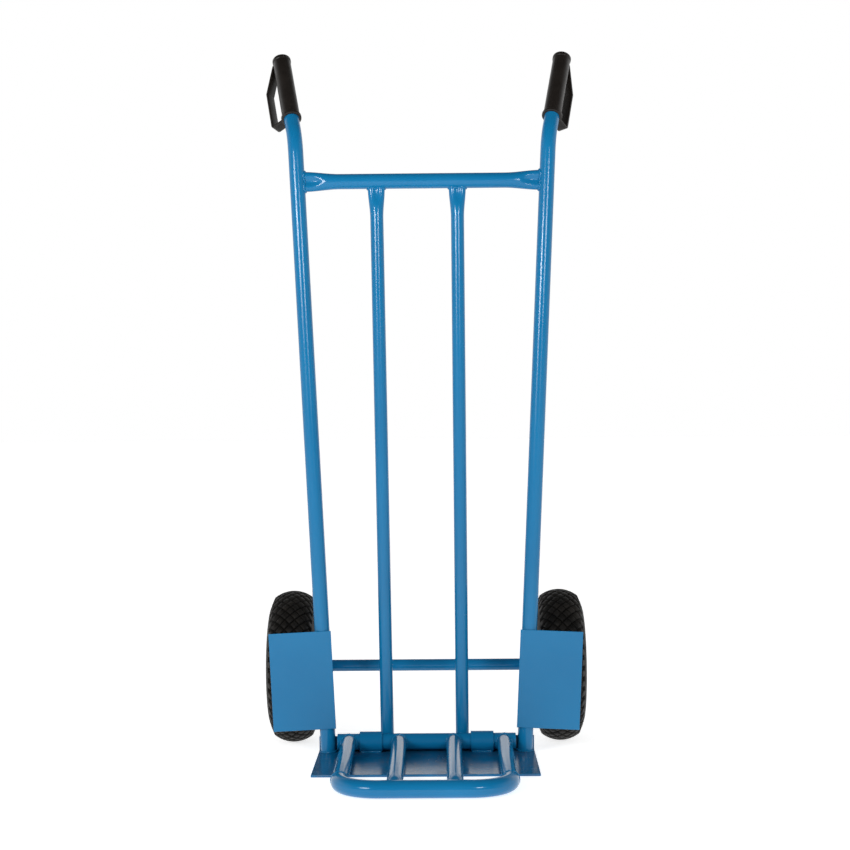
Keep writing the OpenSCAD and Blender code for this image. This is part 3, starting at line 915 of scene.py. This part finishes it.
def tyre_mesh(bm):
    """A tyre about the X axis, its middle plane at x = 0, with tread heights as an attribute."""
    around, across = 2 * math.pi / TURNS, CELL_ACROSS
    rise = bm.verts.layers.float.new("tread")
    columns = int(TREAD_HALF / across) + 2
    for i in range(2 * TURNS):
        for j in range(-2 * columns, 2 * columns + 1):
            if (i + j) % 2:
                continue
            grid = []
            for a, s in enumerate(CELL_STEPS):
                row = []
                for b, t in enumerate(CELL_STEPS):
                    u = (i + s + t - 1) / 2 * around
                    v = (j + s - t) / 2 * across
                    vert = bm.verts.new((u, v, 0))
                    vert[rise] = min(CELL_RISE[a], CELL_RISE[b])
                    row.append(vert)
                grid.append(row)
            for low, high in zip(grid, grid[1:]):
                for b in range(len(CELL_STEPS) - 1):
                    bm.faces.new((low[b], high[b], high[b + 1], low[b + 1]))
    bmesh.ops.remove_doubles(bm, verts=bm.verts, dist=1e-5)
    for sign in (-1, 1):
        geom = bm.verts[:] + bm.edges[:] + bm.faces[:]
        bmesh.ops.bisect_plane(
            bm, geom=geom, plane_co=(0, sign * TREAD_HALF, 0), plane_no=(0, sign, 0),
            clear_outer=True, dist=1e-6,
        )
    # Shoulder, sidewall, bead and lining as one line of (across, radius). The tread's grooves run
    # out over the shoulder.
    shoulder = [(33.7, 115.2), (35.4, 110.9)]
    smooth = [(36.2, 109.4)]
    for a in angles(24, 18, 12, 6, 0, -6, -12, -18, -24, -30, -36):
        smooth.append((WALL_R * math.cos(a), WALL_CENTRE + WALL_R * math.sin(a)))
    smooth += [(31.2, 62.9), (29.4, 61.6), (29.2, 58.0), (29.2, 49.4), (28.4, 48.8)]
    smooth += [(18.0, 48.8), (17.2, 49.6)]
    for a in angles(29, 45, 60, 75, 90, 105, 120, 135, 150, 165):
        smooth.append((LINING_R * math.sin(a), LINING_CENTRE - LINING_R * math.cos(a)))
    wall = [(x, r, True) for x, r in shoulder] + [(x, r, False) for x, r in smooth]
    loops = {}
    for sign in (-1, 1):
        edge = [v for v in bm.verts if abs(v.co.y - sign * TREAD_HALF) < 1e-4]
        edge.sort(key=lambda v: v.co.x)
        loops[sign] = edge

    def placed(u, across_at, radius):
        return Vector((across_at, radius * math.sin(u), radius * math.cos(u)))

    flat = [(v, v.co.x, v.co.y) for v in bm.verts]
    sides = {}
    for sign in (-1, 1):
        rows = [loops[sign]]
        for x, r, grooved in wall:
            row = []
            for v in loops[sign]:
                sunk = GROOVE * (1 - v[rise]) * grooved
                vert = bm.verts.new(placed(v.co.x, sign * (x - sunk * 0.8), r - sunk * 0.5))
                vert[rise] = v[rise] if grooved else SMOOTH_RISE
                row.append(vert)
            rows.append(row)
        sides[sign] = rows
    for v, u, y in flat:
        crown = math.sqrt(CROWN_R**2 - y * y)
        normal = Vector((y / CROWN_R, crown / CROWN_R))
        depth = GROOVE * (1 - v[rise])
        v.co = placed(u, y - normal.x * depth, CROWN_CENTRE + crown - normal.y * depth)

    def skin(a, b):
        for k in range(len(a) - 1):
            bm.faces.new((a[k], a[k + 1], b[k + 1], b[k]))

    for sign in (-1, 1):
        for a, b in zip(sides[sign], sides[sign][1:]):
            skin(a, b)
    left, right = sides[-1][-1], sides[1][-1]
    top = [bm.verts.new(placed(math.atan2(v.co.y, v.co.z), 0, LINING_TOP)) for v in right]
    for v in top:
        v[rise] = SMOOTH_RISE
    skin(left, top)
    skin(top, right)
    bmesh.ops.remove_doubles(bm, verts=bm.verts, dist=1e-3)


def outlined(path, half):
    """The closed outline of a sheet whose middle follows a flat path of (across, radius)."""
    left, right = [], []
    for i, p in enumerate(path):
        before, after = path[max(i - 1, 0)], path[min(i + 1, len(path) - 1)]
        t = (after - before).normalized()
        n = Vector((-t.y, t.x, 0))
        left.append(p + n * half)
        right.append(p - n * half)
    return left + right[::-1]


# Half a rim: a disc, the seat of the tyre's bead and a flange with a curled lip.
SEAT_R = 47.5
FLANGE_X = 30.5
LIP_R = 60.0
rim_corners = [(3, 17.9), (3, SEAT_R), (FLANGE_X, SEAT_R), (FLANGE_X, LIP_R)]
rim_path = rounded([Vector((x, r, 0)) for x, r in rim_corners], 3.2, 8)
for a in (0.5, 1.0, 1.4):
    rim_path.append(Vector((FLANGE_X + 1.6 * math.sin(a), LIP_R + 0.6 * math.sin(a), 0)))
RIM = [(p.y, p.x) for p in outlined(rim_path, 0.98)]
# A valve from its cap to its foot inside the tyre, as (radius, along).
STEM = [
    (POLE_R, 28.5), (3.4, 28.5), (4.2, 29.2), (4.2, 33.4), (3.9, 33.8), (4.2, 34.2), (4.2, 38.0),
    (3.6, 38.5), (3.2, 38.6), (3.2, 44.0), (4.6, 45.2), (5.4, 46.2), (3.2, 46.4), (3.2, 52.8),
    (POLE_R, 52.8),
]

for label, side in SIDES:
    body = f"{label}_wheel"
    centre = mirrored(side) @ Matrix.Translation((TRACK / 2, AXLE_Y, AXLE_Z))
    bm = bmesh.new()
    tyre_mesh(bm)
    bmesh.ops.transform(bm, matrix=centre, verts=bm.verts)
    finish_mesh(
        f"{label}_tyre_tread", bm, RUBBER, body, [f"{label}_tyre"], crease=50
    )
    for name, flip in (("outer", 1), ("inner", -1)):
        bm = bmesh.new()
        place = centre @ Matrix.Scale(flip, 4, X) @ Matrix.Rotation(math.pi / 2, 4, "Y")
        add_turned(bm, RIM, place, steps=96)
        rim = f"{label}_rim_{name}"
        finish_mesh(f"{rim}_pressing", bm, RIM_PAINT, body, [rim])
    bm = bmesh.new()
    add_turned(bm, STEM, centre @ Matrix.Translation((12, 0, 0)), steps=40)
    finish_mesh(
        f"{label}_valve_stem", bm, VALVE_RUBBER, body, [f"{label}_valve"]
    )

# ---- Floor, light and camera ----

floor_mesh = bpy.data.meshes.new("floor")
bm = bmesh.new()
bmesh.ops.create_grid(bm, x_segments=8, y_segments=8, size=30)
bm.to_mesh(floor_mesh)
bm.free()
floor = bpy.data.objects.new("floor", floor_mesh)
# Half a millimetre under the tyres, so that no faces share a plane.
floor.location = (0, 0, -0.0005)
bpy.context.scene.collection.objects.link(floor)
paper = Look("floor_paper", roughness=0.9)
shade = paper.levels(paper.noise(3, 4), 0.3, 0.7)
paper.colour(paper.mix(shade, (0.86, 0.86, 0.86), (0.90, 0.90, 0.90)))
paper.shader.inputs["Emission Color"].default_value = (1, 1, 1, 1)
paper.shader.inputs["Emission Strength"].default_value = 0.72
floor_mesh.materials.append(paper.material)


def softbox(name, place, target, size, power):
    light = bpy.data.lights.new(name, "AREA")
    light.shape = "RECTANGLE"
    light.size, light.size_y = size
    light.energy = power
    obj = bpy.data.objects.new(name, light)
    obj.location = place
    obj.rotation_euler = (Vector(target) - Vector(place)).to_track_quat("-Z", "Y").to_euler()
    bpy.context.scene.collection.objects.link(obj)


# Two upright strip boxes in front draw the highlight lines, brighter towards their tops.
STRIP_POWER = (0.2, 1.2, 5.0, 13.0, 24.0)
STRIP_FOOT = 0.58
STRIP_STEP = 0.16
STRIP_AWAY = 3
for label, azimuth, power, width in (("left", -33, 0.82, 1.0), ("right", 21, 0.44, 0.8)):
    a = math.radians(azimuth)
    for k, share in enumerate(STRIP_POWER):
        height = STRIP_FOOT + STRIP_STEP * k
        softbox(
            f"strip_{label}_{k}",
            (STRIP_AWAY * math.sin(a), -STRIP_AWAY * math.cos(a), height),
            (0, 0, height),
            (width, STRIP_STEP),
            power * share,
        )
# A broad soft sun lights the front and leaves no reflection of its own.
sky = bpy.data.lights.new("front_panel", "SUN")
sky.energy = 0.84
sky.angle = math.radians(70)
sky_object = bpy.data.objects.new("front_panel", sky)
sky_object.rotation_euler = (math.radians(64), 0, 0)
sky_object.visible_glossy = False
bpy.context.scene.collection.objects.link(sky_object)

world = bpy.data.worlds.new("studio")
bpy.context.scene.world = world
world.use_nodes = True
tree = world.node_tree


def world_levels(socket, low, high, to_low, to_high):
    node = tree.nodes.new("ShaderNodeMapRange")
    node.interpolation_type = "SMOOTHSTEP"
    set_range(node, low, high, to_low, to_high)
    tree.links.new(socket, node.inputs["Value"])
    return node.outputs["Result"]


# The studio is a bright wall behind and softer walls at the sides, with a dark ceiling.
heading = tree.nodes.new("ShaderNodeSeparateXYZ")
tree.links.new(tree.nodes.new("ShaderNodeTexCoord").outputs["Generated"], heading.inputs[0])
wall = world_levels(heading.outputs["Y"], -0.9, 0.25, 0.08, 1.0)
ceiling = world_levels(heading.outputs["Z"], 0.30, 0.72, 1.0, 0.10)
both = tree.nodes.new("ShaderNodeMath")
both.operation = "MULTIPLY"
tree.links.new(wall, both.inputs[0])
tree.links.new(ceiling, both.inputs[1])
background = tree.nodes["Background"]
tree.links.new(both.outputs["Value"], background.inputs["Strength"])
background.inputs["Color"].default_value = (1.0, 1.0, 1.0, 1)
# The camera itself sees plain white behind the truck.
backdrop = tree.nodes.new("ShaderNodeBackground")
backdrop.inputs["Color"].default_value = (1.0, 1.0, 1.0, 1)
seen = tree.nodes.new("ShaderNodeLightPath")
blend = tree.nodes.new("ShaderNodeMixShader")
tree.links.new(seen.outputs["Is Camera Ray"], blend.inputs["Fac"])
tree.links.new(background.outputs["Background"], blend.inputs[1])
tree.links.new(backdrop.outputs["Background"], blend.inputs[2])
tree.links.new(blend.outputs["Shader"], tree.nodes["World Output"].inputs["Surface"])

scene = bpy.context.scene
scene.view_settings.view_transform = "Standard"
camera_data = bpy.data.cameras.new("camera")
camera_data.sensor_width = 36.0
camera_data.lens = 76.235
camera = bpy.data.objects.new("camera", camera_data)
CAMERA_PLACE = Matrix.Translation((0.0289, -3.000, 0.5762))
HEADING, PITCH, ROLL = (math.radians(a) for a in (0.5206, 89.4632, -0.4766))
camera.matrix_world = (
    CAMERA_PLACE
    @ Matrix.Rotation(HEADING, 4, "Z")
    @ Matrix.Rotation(PITCH, 4, "X")
    @ Matrix.Rotation(ROLL, 4, "Z")
)
scene.collection.objects.link(camera)
scene.camera = camera
